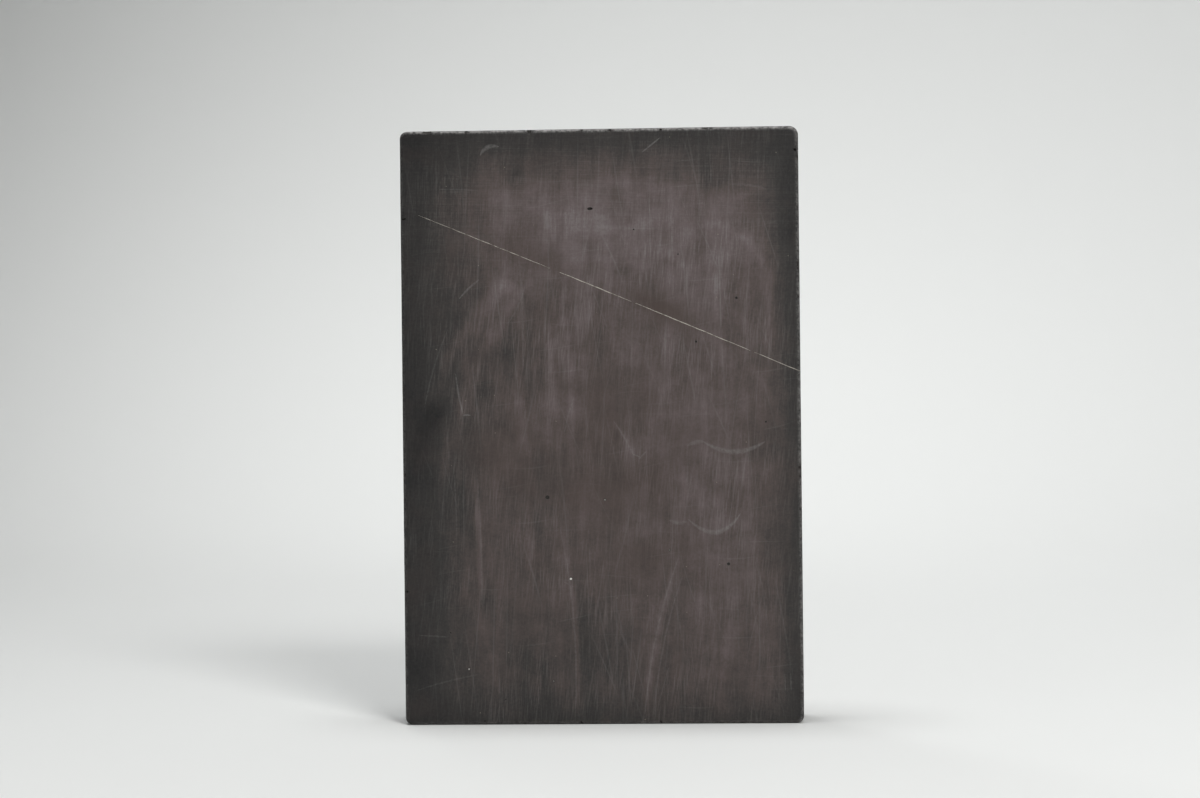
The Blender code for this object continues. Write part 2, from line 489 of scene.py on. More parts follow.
# %% Pits and chips, listed
# (x, z, half-sizes along x, y and z), in mm; z counts from the base, or from the top where negative.
PITS = (
    (-3.0, -26.9, 0.95, 0.60, 0.50),
    (45.8, -57.4, 0.50, 0.24, 0.50),
    (32.1, -71.9, 0.42, 0.22, 0.42),
    (-18.3, 76.3, 0.75, 0.32, 0.72),
    (42.2, 53.5, 0.55, 0.26, 0.55),
    (11.6, -34.0, 0.28, 0.30, 0.26),
    (26.4, -42.5, 0.25, 0.25, 0.30),
    (-51.5, 31.0, 0.30, 0.30, 0.26),
    (55.2, 101.0, 0.26, 0.30, 0.30),
    (-33.0, 8.6, 0.34, 0.30, 0.26),
)
# (x, z, half-sizes) of the larger chips on the front arris; 0 in a place means "at that edge".
CHIPS = (
    ("top", -23.1, 0.75, 1.5, 1.7),
    ("top", -57.6, 1.7, 1.6, 1.1),
    ("top", -44.4, 0.6, 1.2, 0.9),
    ("top", 36.0, 1.1, 1.1, 0.8),
    ("right", -46.4, 1.0, 1.4, 1.6),
    ("right", 64.0, 0.4, 0.8, 1.0),
    ("left", 27.5, 0.6, 1.2, 2.0),
    ("left", -30.6, 0.45, 0.8, 1.1),
    ("left", 76.0, 0.4, 0.7, 1.6),
    ("base", 21.0, 1.3, 0.8, 0.4),
)


def from_base(distance):
    return distance * MM if distance >= 0 else HEIGHT + distance * MM


def break_points():
    """A mesh of loose points, one for each pit and chip, with the ball's half-sizes as an attribute."""
    places, reaches = [], []
    for x, z, *reach in PITS:
        places.append((x * MM, FRONT_Y, from_base(z)))
        reaches.append([size * MM for size in reach])
    for bubble in BUBBLES:
        places.append((bubble.x, FRONT_Y, bubble.z))
        reaches.append([bubble.socket, bubble.socket * 0.8, bubble.socket])
    for edge, along, *reach in CHIPS:
        spot = {"top": (along * MM, HEIGHT), "base": (along * MM, 0.0),
                "right": (HALF_WIDTH, from_base(along)), "left": (-HALF_WIDTH, from_base(along))}[edge]
        places.append((spot[0], FRONT_Y, spot[1]))
        reaches.append([size * MM for size in reach])
    mesh = bpy.data.meshes.new("break_points")
    mesh.from_pydata(places, [], [])
    reach = mesh.attributes.new("reach", "FLOAT_VECTOR", "POINT")
    reach.data.foreach_set("vector", np.array(reaches, dtype=np.float32).ravel())
    return mesh


class Bubble:
    """A gas bubble that later filled with mineral: its node's middle, its grain and its socket."""

    def __init__(self, node):
        low, high = (Vector(corner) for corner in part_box(node))
        self.node = node
        self.x = (low.x + high.x) / 2
        self.z = (low.z + high.z) / 2
        self.grain = (high.x - low.x) / 2
        self.socket = self.grain + 0.02 * MM


BUBBLES = [Bubble(f"mineral_grain_{number}") for number in range(1, 6)]
GRAIN_SHARES = (0.62, 0.80, 0.55, 0.60, 0.55)       # of the bubble that the mineral fills
GRAIN_MILK = (0.25, 1.0, 0.2, 0.7, 0.3)             # how white each one is
print(len(PITS), "pits,", len(CHIPS), "chips,", len(BUBBLES), "filled bubbles")

# %% Break tools
NICKS_PER_OUTLINE = 150
NICK_SHARE = 0.5            # the share of them that is kept
NICK_SMALLEST = 0.16 * MM
NICK_LARGEST = 0.55 * MM
NICK_SPREAD = Vector((4.0, 0.4, 4.0)) * MM      # how far a nick may slide along its outline
BREAK_ROUGHNESS = 0.16 * MM
BREAK_SEED = 11


def random_vector(tree, low, high, seed):
    made = put(tree, "FunctionNodeRandomValue", {0: low, 1: high, "Seed": seed}, data_type="FLOAT_VECTOR")
    return made.outputs[0]


def balls_on(tree, points, detail, **how):
    """A unit ball on every point, turned and scaled as given."""
    ball = put(tree, "GeometryNodeMeshIcoSphere", {"Radius": 1.0, "Subdivisions": detail}).outputs[0]
    made = put(tree, "GeometryNodeInstanceOnPoints", {"Points": points, "Instance": ball, **how})
    return made.outputs[0]


def strew_nicks(tree, given):
    """Points along the front and the back outline, with some left out at random."""
    inset = mul(given["Arris radius"], 0.3)
    twice = mul(inset, 2.0)
    size = split(given["Size"])
    outline = put(tree, "GeometryNodeCurvePrimitiveQuadrilateral",
                  {"Width": sub(size[0], twice), "Height": sub(size[2], twice)})
    round_outline = put(tree, "GeometryNodeFilletCurve",
                        {"Curve": outline.outputs[0], "Radius": given["Corner radius"]})
    rings = put(tree, "GeometryNodeJoinGeometry")
    for direction in (-1.0, 1.0):
        depth = mul(sub(mul(size[1], 0.5), inset), direction)
        moved = put(tree, "GeometryNodeTransform",
                    {"Geometry": round_outline.outputs[0],
                     "Translation": join(0.0, depth, mul(size[2], 0.5)),
                     "Rotation": (math.pi / 2, 0.0, 0.0)})
        tree.links.new(moved.outputs[0], rings.inputs[0])
    points = put(tree, "GeometryNodeCurveToPoints",
                 {"Curve": rings.outputs[0], "Count": given["Count"]}, mode="COUNT")
    spread = random_vector(tree, -NICK_SPREAD, NICK_SPREAD, given["Seed"])
    along = vec("MULTIPLY", spread, vec("ABSOLUTE", points.outputs["Tangent"]))
    shifted = move(tree, points.outputs["Points"], Offset=along)
    chance = put(tree, "FunctionNodeRandomValue",
                 {"Probability": sub(1.0, given["Share"]), "Seed": add(given["Seed"], 1.0)},
                 data_type="BOOLEAN")
    few = put(tree, "GeometryNodeDeleteGeometry", {"Geometry": shifted, "Selection": chance.outputs[3]})
    return few.outputs[0]


def break_tree():
    tree, given, out = new_tree("break tools", (
        ("Size", "Vector"), ("Corner radius", "Float", CORNER_RADIUS),
        ("Arris radius", "Float", ARRIS_RADIUS), ("Count", "Int", NICKS_PER_OUTLINE),
        ("Share", "Float", NICK_SHARE), ("Smallest", "Float", NICK_SMALLEST),
        ("Largest", "Float", NICK_LARGEST), ("Seed", "Int", BREAK_SEED), ("Material", "Material")))

    # Few large nicks and many small ones: the random value is cubed.
    chance = put(tree, "FunctionNodeRandomValue", {2: 0.0, 3: 1.0, "Seed": given["Seed"]},
                 data_type="FLOAT").outputs[1]
    cubed = calc("POWER", chance, 3.0)
    size = add(given["Smallest"], mul(cubed, sub(given["Largest"], given["Smallest"])))
    turn = random_vector(tree, (-3.0, -3.0, -3.0), (3.0, 3.0, 3.0), given["Seed"])
    flat = random_vector(tree, (0.8, 0.7, 0.8), (2.2, 1.1, 2.2), given["Seed"])
    nicks = balls_on(tree, strew_nicks(tree, given), 2, Rotation=turn, Scale=scaled(flat, size))
    reach = put(tree, "GeometryNodeInputNamedAttribute", {"Name": "reach"}, data_type="FLOAT_VECTOR")
    listed = balls_on(tree, given["Geometry"], 3, Scale=reach.outputs[0])
    together = put(tree, "GeometryNodeJoinGeometry")
    for branch in (nicks, listed):
        tree.links.new(branch, together.inputs[0])
    real = put(tree, "GeometryNodeRealizeInstances", {0: together.outputs[0]}).outputs[0]

    # Break up the balls, so that what they leave is rough.
    finish_tree(tree, out, puff(tree, real, 1400.0, BREAK_ROUGHNESS), given["Material"])
    return tree


tools = grow("break_tools", break_tree(), {"Size": tuple(SLAB_SIZE), "Material": STONE}, break_points())
print("break tools:", len(tools.data.polygons), "faces")

# %% Break them out
BREAK_DEPTH = 0.10 * MM     # deeper than this below the honed form counts as broken stone
SAME_POINT = 0.001 * MM     # points closer than this are one


def largest_part(bm):
    """The faces of the largest connected part of a mesh."""
    largest = set()
    left = set(bm.faces)
    while left:
        part = {left.pop()}
        waiting = list(part)
        while waiting:
            face = waiting.pop()
            near = {other for edge in face.edges for other in edge.link_faces} & left
            left -= near
            part |= near
            waiting.extend(near)
        largest = max(largest, part, key=len)
    return largest


def clean_cut(mesh):
    """Drop what a cut leaves behind: flaps with no thickness, and bubbles shut up inside the piece."""
    bm = bmesh.new()
    bm.from_mesh(mesh)
    bmesh.ops.remove_doubles(bm, verts=bm.verts, dist=SAME_POINT)
    bmesh.ops.triangulate(bm, faces=bm.faces)
    same_corners = {}
    for face in bm.faces:
        same_corners.setdefault(frozenset(face.verts), []).append(face)
    flaps = [face for faces in same_corners.values() if len(faces) > 1 for face in faces]
    bmesh.ops.delete(bm, geom=flaps, context="FACES")
    kept = largest_part(bm)
    loose = [face for face in bm.faces if face not in kept]
    bmesh.ops.delete(bm, geom=loose, context="FACES")
    bm.to_mesh(mesh)
    bm.free()
    print(mesh.name, "cleaned of", len(flaps), "flaps and", len(loose), "faces inside")


def cut_tools_out(piece, tools):
    cut = piece.modifiers.new("break", "BOOLEAN")
    cut.operation = "DIFFERENCE"
    cut.solver = "MANIFOLD"
    cut.object = tools
    seen = piece.evaluated_get(bpy.context.evaluated_depsgraph_get())
    broken = bpy.data.meshes.new_from_object(seen)
    piece.modifiers.clear()
    whole = piece.data
    piece.data = broken
    return whole


def keep_values(mesh, name, values, highest=1.2):
    mark = mesh.attributes.new(name, "FLOAT", "POINT")
    mark.data.foreach_set("value", np.clip(values, 0.0, highest).astype(np.float32))


def mark_broken(mesh, whole):
    """Keep 1 where the surface lies inside the honed form, and 0 where it is still that form."""
    corners = [vert.co for vert in whole.vertices]
    faces = [tuple(face.vertices) for face in whole.polygons]
    form = BVHTree.FromPolygons(corners, faces)
    depths = [form.find_nearest(vert.co)[3] / BREAK_DEPTH for vert in mesh.vertices]
    keep_values(mesh, "broken", np.array(depths, dtype=np.float32), 1.0)


def shade(mesh, sharp_from):
    """Shade a mesh smooth, apart from edges sharper than this many degrees."""
    mesh.shade_smooth()
    mesh.set_sharp_from_angle(angle=math.radians(sharp_from))


whole = cut_tools_out(slab, tools)
clean_cut(slab.data)
mark_broken(slab.data, whole)
shade(slab.data, 32.0)
bpy.data.objects.remove(tools)
print("slab after breaking:", len(slab.data.polygons), "faces")

# %% [markdown]
# ## Haze and wipe marks
# Dry dark stone takes up fine dust and skin oil, and every wipe leaves a trace. The haze is thickest
# where a cloth last came to rest, thin along the borders, and it is drawn out in long streaks. All of
# that is one number at each point of the surface, `haze`, kept as an attribute: soft patches first, then
# strokes. A stroke is a shallow arc with a soft edge. The strokes that catch the eye are listed one by one,
# and the many faint ones follow the hand that wiped: upright in the middle, fanned out at the left.
# Two more numbers are kept the same way: `stain`, where the rock itself is browner, mostly along the vein,
# and one for the arris: a little pale from handling all round, and much paler along the top and somewhat
# along the right, which is painted highlight where the light falls.

# %% Paint tools


def ramp(value, start, end):
    """A smooth step from 0 at start to 1 at end."""
    share = np.clip((value - start) / (end - start), 0.0, 1.0)
    return share * share * (3.0 - 2.0 * share)


def patch(x, z, at_x, at_z, wide, tall, lean=0.0):
    """A soft round patch, leaning by `lean` degrees."""
    turn = math.radians(lean)
    across = (x - at_x) * math.cos(turn) + (z - at_z) * math.sin(turn)
    along = (z - at_z) * math.cos(turn) - (x - at_x) * math.sin(turn)
    return np.exp(-((across / wide) ** 2) - (along / tall) ** 2)


def stroke(x, z, start, end, bend, width):
    """A shallow arc from start to end, thick in its middle; `bend` is its rise to the left of the way."""
    way_x, way_z = end[0] - start[0], end[1] - start[1]
    length = math.hypot(way_x, way_z)
    along = ((x - start[0]) * way_x + (z - start[1]) * way_z) / length ** 2
    off = ((z - start[1]) * way_x - (x - start[0]) * way_z) / length
    hump = np.clip(4.0 * along * (1.0 - along), 0.0, 1.0)
    return np.exp(-(((off - bend * hump) / width) ** 2)) * np.sqrt(hump)


def lay(haze, x, z, mark, listed):
    """Add every listed patch or stroke to the haze. The last number of each is its amount."""
    for *shape, amount in listed:
        haze += amount * mark(x, z, *shape)


def corners_of(mesh):
    """The x, y and z of all corners, in mm."""
    spots = np.empty(len(mesh.vertices) * 3, dtype=np.float32)
    mesh.vertices.foreach_get("co", spots)
    return (spots.reshape(-1, 3) / MM).T


print("paint tools ready")

# %% Front face haze
# (x, z, half-width, half-height, lean, amount), in mm
FRONT_PATCHES = (
    (6.0, 168.0, 44.0, 15.0, 0.0, 0.31),
    (40.0, 152.0, 20.0, 22.0, -20.0, 0.16),
    (-14.0, 158.0, 18.0, 14.0, 0.0, 0.04),
    (10.0, 191.0, 44.0, 7.0, 0.0, 0.10),
    (60.0, 173.0, 9.0, 17.0, 0.0, -0.22),
    (36.0, 180.0, 12.0, 8.0, 0.0, -0.14),
    (-37.0, 124.0, 14.0, 20.0, 0.0, -0.10),
    (58.0, 148.0, 7.0, 14.0, 0.0, -0.10),
    (-16.0, 112.0, 6.0, 22.0, -6.0, 0.13),
    (-60.0, 20.0, 6.0, 7.0, 0.0, -0.05),
    (24.0, 105.0, 30.0, 60.0, 0.0, 0.10),
    (14.0, 132.0, 34.0, 34.0, 0.0, 0.07),
    (42.0, 62.0, 16.0, 46.0, 0.0, 0.08),
    (-34.0, 124.0, 8.0, 5.0, 0.0, -0.17),
    (-56.0, 105.0, 6.0, 4.0, -35.0, -0.16),
    (-60.0, 97.0, 3.0, 7.0, -20.0, -0.14),
    (-62.0, 92.0, 5.0, 20.0, 0.0, -0.05),
    (-40.0, 99.0, 8.0, 9.0, 0.0, -0.06),
    (53.0, 97.0, 5.0, 11.0, 0.0, -0.07),
    (20.0, 143.0, 10.0, 4.0, -20.0, -0.16),
    (4.0, 112.0, 7.0, 12.0, 0.0, -0.10),
    (-8.0, 84.0, 20.0, 9.0, 0.0, -0.08),
    (58.0, 104.0, 5.0, 14.0, 0.0, -0.10),
    (59.0, 60.0, 5.0, 16.0, 0.0, -0.10),
    (-28.0, 20.0, 26.0, 16.0, 0.0, -0.10),
    (0.0, 22.0, 22.0, 14.0, 0.0, -0.10),
)
# (start, end, bend, width, amount), in mm
FRONT_WIPES = (
    ((25.9, 57.0), (14.3, 3.0), -2.0, 1.0, 0.26),
    ((23.0, 60.0), (12.0, 18.0), -1.0, 1.6, 0.14),
    ((-14.0, 67.0), (-9.0, 3.0), 2.0, 0.9, 0.22),
    ((-42.9, 85.0), (-41.0, 42.0), 0.5, 0.8, 0.22),
    ((-26.0, 145.0), (-26.4, 119.0), 0.3, 0.6, 0.26),
    ((-14.0, 148.0), (-10.0, 92.0), 1.5, 1.1, 0.16),
    ((-20.0, 145.0), (-14.5, 90.0), 1.0, 0.9, 0.16),
    ((12.6, 161.7), (32.5, 145.0), 4.0, 1.8, 0.20),
    ((39.0, 168.0), (58.0, 147.0), 3.5, 1.3, 0.22),
    ((4.3, 101.7), (10.9, 90.0), 0.3, 0.8, 0.20),
    ((-24.0, 158.0), (-62.0, 100.0), -4.0, 2.0, 0.26),
    ((-26.0, 154.0), (-58.0, 70.0), -3.0, 2.6, 0.18),
    ((-30.0, 150.0), (-47.0, 118.0), -2.0, 1.6, 0.22),
    ((-22.0, 150.0), (-34.0, 128.0), -2.5, 1.2, 0.22),
    ((-57.0, 176.0), (-60.0, 140.0), 1.0, 1.0, 0.12),
    ((-44.0, 60.0), (-56.0, 12.0), 1.0, 1.1, 0.14),
    ((50.0, 120.0), (62.0, 92.0), 2.0, 1.4, 0.14),
    ((36.0, 125.0), (34.0, 70.0), 0.0, 1.4, 0.12),
    ((46.0, 100.0), (50.0, 30.0), 1.5, 2.2, 0.16),
    ((31.0, 66.0), (33.0, 14.0), 0.5, 1.4, 0.14),
    ((-6.0, 180.0), (34.0, 176.0), 3.0, 2.4, 0.12),
    ((-30.0, 172.0), (10.0, 165.0), 4.0, 2.2, 0.10),
    ((58.0, 182.0), (40.0, 176.0), 2.0, 1.2, 0.12),
)
# Brown stains in the rock, mostly along the vein
STAINS = (
    (16.0, 142.0, 12.0, 2.8, -26.0, 0.50),
    (24.0, 137.0, 9.0, 4.0, -20.0, 0.45),
    (-22.0, 156.5, 12.0, 4.0, -20.0, 0.45),
    (0.0, 109.0, 5.0, 12.0, 0.0, 0.30),
    (14.0, 96.0, 40.0, 44.0, 0.0, 0.26),
    (16.0, 56.0, 14.0, 7.0, 0.0, 0.35),
    (-2.0, 79.0, 18.0, 8.0, 0.0, 0.30),
    (-34.0, 92.0, 12.0, 14.0, 0.0, 0.25),
)
WIPE_SEED = 5
WIPE_COUNT = 260
FRONT_HAZE = 0.47
HAZE_KNEE = 0.75        # haze gets thicker only slowly above this, by this share:
HAZE_ABOVE = 0.45
# (border, share of the haze left at it, distance over which the rest comes back in mm)
FRONT_BORDERS = (("left", 0.24, 33.0), ("right", 0.42, 12.0), ("top", 0.35, 24.0), ("base", 0.55, 16.0))


def faint_wipes(seed, count, fan):
    """Many faint strokes; `fan` is how far they lean, in degrees, at the left side."""
    draw = random.Random(seed)
    for _ in range(count):
        x = draw.uniform(-64.0, 64.0)
        z = draw.uniform(5.0, 195.0)
        length = draw.uniform(12.0, 75.0)
        lean = math.radians(-fan * max(0.0, -x / 64.0) * draw.uniform(0.2, 1.0) + draw.gauss(0.0, 5.0))
        half_x, half_z = math.sin(lean) * length / 2, math.cos(lean) * length / 2
        amount = draw.choice((-1.0, 1.0, 1.0, 1.0)) * draw.uniform(0.02, 0.085)
        yield ((x - half_x, z - half_z), (x + half_x, z + half_z), draw.gauss(0.0, 1.2),
               draw.uniform(0.6, 2.4), amount)


def front_haze(x, z):
    haze = np.full_like(x, FRONT_HAZE)
    clean = np.zeros_like(x)
    lay(haze, x, z, patch, [spot for spot in FRONT_PATCHES if spot[-1] > 0.0])
    lay(clean, x, z, patch, [spot for spot in FRONT_PATCHES if spot[-1] < 0.0])
    lay(haze, x, z, stroke, FRONT_WIPES)
    lay(haze, x, z, stroke, faint_wipes(WIPE_SEED, WIPE_COUNT, 24.0))
    haze = np.where(haze > HAZE_KNEE, HAZE_KNEE + HAZE_ABOVE * (haze - HAZE_KNEE), haze)
    side = HALF_WIDTH / MM
    inwards = {"left": x + side, "right": side - x, "top": HEIGHT / MM - z, "base": z}
    for border, left_over, distance in FRONT_BORDERS:
        haze *= left_over + (1.0 - left_over) * ramp(inwards[border], 0.0, distance)
    return haze + clean


print(len(FRONT_WIPES) + WIPE_COUNT, "wipe marks on the front")

# %% Back, sides and paint job
BACK_HAZE = 0.44
SIDE_HAZE = 0.34
BACK_PATCHES = (
    (10.0, 60.0, 40.0, 36.0, 0.0, 0.20),
    (-20.0, 150.0, 34.0, 24.0, 15.0, 0.22),
    (36.0, 128.0, 14.0, 20.0, 0.0, -0.12),
    (-44.0, 84.0, 12.0, 26.0, 0.0, -0.12),
)
RUBBED_SIDES = 0.20         # how pale the arris is rubbed on every side; along the top it is 1, mostly painted highlight
# The right arris is painted paler too: a painted highlight where the light from the right falls on it.
RIGHT_ARRIS_HIGHLIGHT = 0.5


def back_haze(x, z):
    haze = np.full_like(x, BACK_HAZE)
    lay(haze, x, z, patch, BACK_PATCHES)
    lay(haze, x, z, stroke, faint_wipes(WIPE_SEED + 1, WIPE_COUNT, 14.0))
    near = np.minimum(np.minimum(x + HALF_WIDTH / MM, HALF_WIDTH / MM - x), np.minimum(z, HEIGHT / MM - z))
    return haze * (0.45 + 0.55 * ramp(near, 0.0, 18.0))


def paint_slab(mesh):
    x, y, z = corners_of(mesh)
    depth = HALF_DEPTH / MM
    towards_back = ramp(y, -depth + 1.0, -depth + 3.0)
    towards_front = ramp(-y, -depth + 1.0, -depth + 3.0)
    haze = front_haze(x, z) * (1.0 - towards_back) + back_haze(-x, z) * (1.0 - towards_front)
    haze += SIDE_HAZE * towards_back * towards_front
    keep_values(mesh, "haze", haze)

    stain = np.zeros_like(x)
    lay(stain, x, z, patch, STAINS)
    keep_values(mesh, "stain", stain)

    arris = np.empty(len(mesh.vertices), dtype=np.float32)
    mesh.attributes["arris"].data.foreach_get("value", arris)
    # The arris is pale from wear a little all round; the extra paleness along the top and right is painted
    # highlight where the light falls.
    upper = ramp(z, HEIGHT / MM - 3.0, HEIGHT / MM - 0.5)
    right = ramp(x, HALF_WIDTH / MM - 3.0, HALF_WIDTH / MM - 0.5)
    wear_and_highlight = np.maximum(np.maximum(upper, RIGHT_ARRIS_HIGHLIGHT * right), RUBBED_SIDES)
    keep_values(mesh, "wear_and_highlight", arris * wear_and_highlight)
    return haze


haze = paint_slab(slab.data)
print("haze from", round(float(haze.min()), 2), "to", round(float(haze.max()), 2))

# %% [markdown]
# ## The stone's material
# The colour is a ramp over the haze: nearly black grey where the stone is clean, brownish where it is
# lightly dusted and a pinkish grey where the haze is thick. Between the painted strokes, noise that is
# stretched along the wiping direction breaks the haze up, and fine speckle gives the grain of the rock.
# Grey dust then sits in the lines: hair-fine ones, sparse stray ones and the single scratches, which are
# arcs worked out in the material, sharp at any distance. Stains, bright specks, the arris paled by wear all
# round and by a painted highlight along the top and right, and the dark broken stone in the chips lie over
# that. Haze scatters light, so it also raises the roughness.

# %% Scratch group


def scratch_group():
    """Node group: one arc-shaped mark from start to end, thin at its ends. All in mm."""
    tree, given, out = new_group("scratch", "ShaderNodeTree", (
        ("Place", "Vector"), ("Start", "Vector"), ("End", "Vector"), ("Bend", "Float"), ("Width", "Float"),
        ("Strength", "Float")), (("Mark", "Float"),))
    way = vec("SUBTRACT", given["End"], given["Start"])
    here = vec("SUBTRACT", given["Place"], given["Start"])
    length = vec("LENGTH", way)
    along = div(vec("DOT_PRODUCT", here, way), calc("POWER", length, 2.0))
    across = vec("CROSS_PRODUCT", way, here)
    off = div(split(across)[2], length)
    rise = mul(along, sub(1.0, along))
    hump = most(mul(rise, 4.0), 0.0)
    miss = calc("ABSOLUTE", sub(off, mul(hump, given["Bend"])))
    wide = most(mul(given["Width"], calc("SQRT", hump)), 1e-4)
    inside = most(sub(1.0, div(miss, wide)), 0.0)
    soft = least(mul(inside, 1.6), 1.0)
    mark = mul(soft, given["Strength"])
    tree.links.new(mark, out.inputs[0])
    return tree


SCRATCH = scratch_group()
print("scratch group:", len(SCRATCH.nodes), "nodes")

# %% [markdown]
# ## Stray lines
# A honed face that has been wiped for years carries many thin single lines, and plain stretched noise
# gives an even brushed look instead. So a pattern of long narrow cells is laid over the face, and some of
# the cells get one line each, with its own lean, bend, width and strength. Five such layers lean five ways.

# %% Stray line group


def stray_line_group():
    """Node group: sparse single lines, one in some of the cells of a stretched pattern. All in mm."""
    tree, given, out = new_group("stray lines", "ShaderNodeTree", (
        ("Place", "Vector"), ("Lean", "Float"), ("Apart", "Float"), ("Length", "Float"), ("Width", "Float"),
        ("Share", "Float")), (("Mark", "Float"),))
    turned = put(tree, "ShaderNodeVectorRotate", {"Vector": given["Place"], "Angle": given["Lean"]},
                 rotation_type="Z_AXIS").outputs[0]
    drawn = vec("DIVIDE", turned, join(given["Apart"], given["Length"], 1.0))
    cells = put(tree, "ShaderNodeTexVoronoi", {"Vector": drawn, "Scale": 1.0}, voronoi_dimensions="2D")
    off_x, off_z, _ = split(vec("SUBTRACT", drawn, cells.outputs["Position"]))
    lean, bend, pick = split(cells.outputs["Color"])
    across = mul(off_x, given["Apart"])
    across = add(across, mul(off_z, swing(lean, 3.0)))
    square = mul(off_z, off_z)
    across = add(across, mul(square, swing(bend, 4.0)))
    hump = most(sub(1.0, mul(square, 5.0)), 0.0)
    wide = mul(given["Width"], add(0.5, bend))
    inside = sub(1.0, div(calc("ABSOLUTE", across), wide))
    chosen = most(sub(pick, sub(1.0, given["Share"])), 0.0)
    strength = div(chosen, given["Share"])
    mark = mul(most(inside, 0.0), hump, strength)
    tree.links.new(mark, out.inputs[0])
    return tree


STRAY_LINES = stray_line_group()
print("stray line group:", len(STRAY_LINES.nodes), "nodes")

# %% Scratches on the front
# (start, end, bend, half-width, strength), in mm
SCRATCHES = (
    ((14.6, 191.7), (20.9, 196.7), 0.0, 0.35, 0.90),
    ((-39.8, 191.6), (-33.4, 194.4), 1.4, 0.95, 0.85),
    ((-53.7, 180.3), (-40.5, 179.7), 0.2, 0.35, 0.40),
    ((-47.4, 143.3), (-41.0, 149.4), 0.3, 0.45, 0.85),
    ((-43.0, 147.6), (-40.6, 149.8), 0.0, 0.35, 0.85),
    ((-48.8, 118.3), (-46.3, 104.2), -0.3, 0.40, 0.80),
    ((-46.5, 104.1), (-43.8, 104.1), 0.2, 0.38, 1.10),
    ((-26.0, 145.0), (-26.0, 120.0), 0.0, 0.40, 0.45),
    ((4.3, 101.7), (10.9, 90.0), 0.3, 0.40, 0.65),
    ((10.6, 90.6), (13.0, 89.6), 0.0, 0.34, 0.85),
    ((12.6, 88.9), (15.2, 91.6), 0.0, 0.34, 0.80),
    ((28.9, 93.2), (34.6, 94.6), 0.5, 0.95, 0.80),
    ((34.2, 94.6), (54.9, 94.4), -3.4, 1.10, 0.92),
    ((22.6, 68.4), (28.4, 67.8), -0.7, 0.90, 0.80),
    ((28.9, 68.6), (46.5, 70.5), -5.4, 1.05, 0.88),
    ((-13.2, 48.0), (-9.8, 46.2), 0.0, 0.30, 0.40),
    ((60.6, 16.6), (60.9, 10.4), 0.0, 0.30, 0.40),
    ((62.6, 17.0), (62.8, 11.0), 0.0, 0.35, 0.40),
    ((-62.0, 30.2), (-52.2, 29.6), 0.1, 0.40, 0.30),
    ((44.0, 180.6), (56.0, 179.0), 0.5, 0.60, 0.30),
    ((-50.0, 88.0), (-49.0, 62.0), 0.3, 0.30, 0.30),
    ((2.0, 182.0), (9.0, 158.0), 0.6, 0.35, 0.25),
    ((-14.3, 66.7), (-9.8, 2.5), 2.2, 0.40, 0.42),
    ((25.9, 56.7), (13.8, 3.3), -2.0, 0.45, 0.48),
    ((26.9, 50.0), (16.8, 3.0), -1.6, 0.35, 0.36),
    ((-42.1, 85.0), (-40.8, 40.0), 0.6, 0.35, 0.40),
    ((-59.5, 106.7), (-51.2, 133.3), 0.8, 0.40, 0.30),
    ((-12.3, 98.3), (-9.0, 110.0), 0.2, 0.40, 0.50),
    ((-31.0, 135.0), (-25.0, 148.0), -0.8, 0.40, 0.40),
    ((-63.0, 11.7), (-42.0, 17.0), 0.4, 0.40, 0.26),
)


def add_scratches(tree, flat_place):
    """The strongest mark at a place, over all the listed scratches."""
    strongest = None
    for start, end, bend, width, strength in SCRATCHES:
        mark = put(tree, "ShaderNodeGroup",
                   {"Place": flat_place, "Start": (*start, 0.0), "End": (*end, 0.0), "Bend": bend,
                    "Width": width, "Strength": strength}, node_tree=SCRATCH).outputs[0]
        strongest = mark if strongest is None else most(strongest, mark)
    return strongest


print(len(SCRATCHES), "single scratches")

# %% Stone colours
HAZE_COLOURS = (        # (haze, linear colour)
    (0.00, (0.0112, 0.0108, 0.0112)),
    (0.25, (0.0315, 0.0289, 0.0277)),
    (0.55, (0.0720, 0.0560, 0.0527)),
    (0.85, (0.1180, 0.0940, 0.0950)),
    (1.00, (0.150, 0.130, 0.131)),
)
DUST_COLOUR = (0.200, 0.194, 0.191)
STAIN_COLOUR = (0.057, 0.041, 0.036)
SPECK_COLOUR = (0.30, 0.27, 0.21)
# Pale grey of the worn arris; along the top and right it is a painted highlight.
ARRIS_WEAR_AND_HIGHLIGHT_COLOUR = (0.27, 0.262, 0.255)
BROKEN_COLOUR = (0.028, 0.025, 0.023)
RIM_COLOUR = (0.150, 0.145, 0.140)
# (lean in degrees, apart, length, half-width, share kept, amount), in mm
LINE_LAYERS = (
    (2.0, 4.0, 52.0, 0.30, 0.55, 0.30),
    (-7.0, 5.0, 40.0, 0.34, 0.50, 0.28),
    (12.0, 8.0, 34.0, 0.30, 0.40, 0.26),
    (-19.0, 8.0, 30.0, 0.32, 0.40, 0.26),
    (86.0, 4.5, 17.0, 0.26, 0.50, 0.22),
)


def colour_ramp(value, stops):
    made = put(tree_of(value), "ShaderNodeValToRGB", {0: value})
    elements = made.color_ramp.elements
    while len(elements) < len(stops):
        elements.new(0.5)
    for element, (place, colour) in zip(elements, stops):
        element.position = place
        element.color = (*colour, 1.0)
    return made.outputs[0]


def attribute(tree, name):
    return put(tree, "ShaderNodeAttribute", attribute_name=name).outputs["Fac"]


def mix(share, first, second):
    """Blend two colours; the second may be a plain linear colour."""
    if isinstance(second, tuple):
        second = (*second, 1.0)
    made = put(tree_of(share), "ShaderNodeMix", {"Factor": share, 6: first, 7: second}, data_type="RGBA")
    return made.outputs[2]


